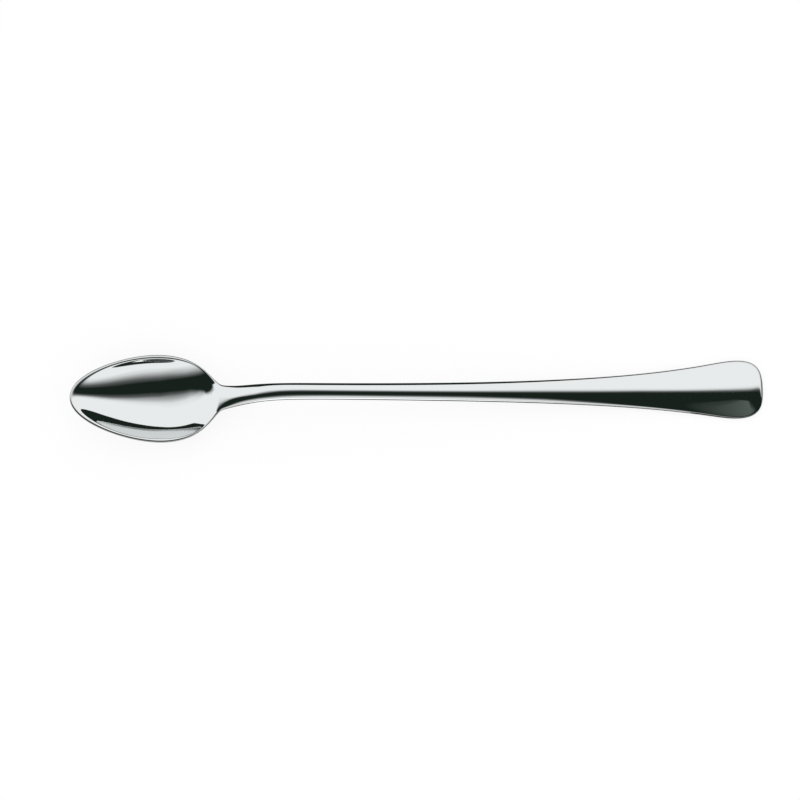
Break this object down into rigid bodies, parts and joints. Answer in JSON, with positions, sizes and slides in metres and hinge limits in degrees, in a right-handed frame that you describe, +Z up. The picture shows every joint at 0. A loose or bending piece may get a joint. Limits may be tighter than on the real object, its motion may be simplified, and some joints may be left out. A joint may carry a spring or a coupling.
{
  "type": "iced tea spoon",
  "caption": "Long-handled stainless spoon with a small egg-shaped bowl, a slender half-round stem and a handle that flares to a broad rounded end.",
  "frame": {"origin": "on the table surface, at half the spoon's length and half its width, with the spoon lying hollow up on the bottom of its bowl and near its handle's end", "axes": "+X along the spoon from the bowl's tip to the handle's end, +Y across it, +Z up from the table, out of the bowl's hollow"},
  "size_m": [0.2, 0.0258, 0.0151],
  "materials": {
    "polished_steel": "polished"
  },
  "bodies": {
    "root": {"spoon": "polished_steel"}
  },
  "joints": []
}
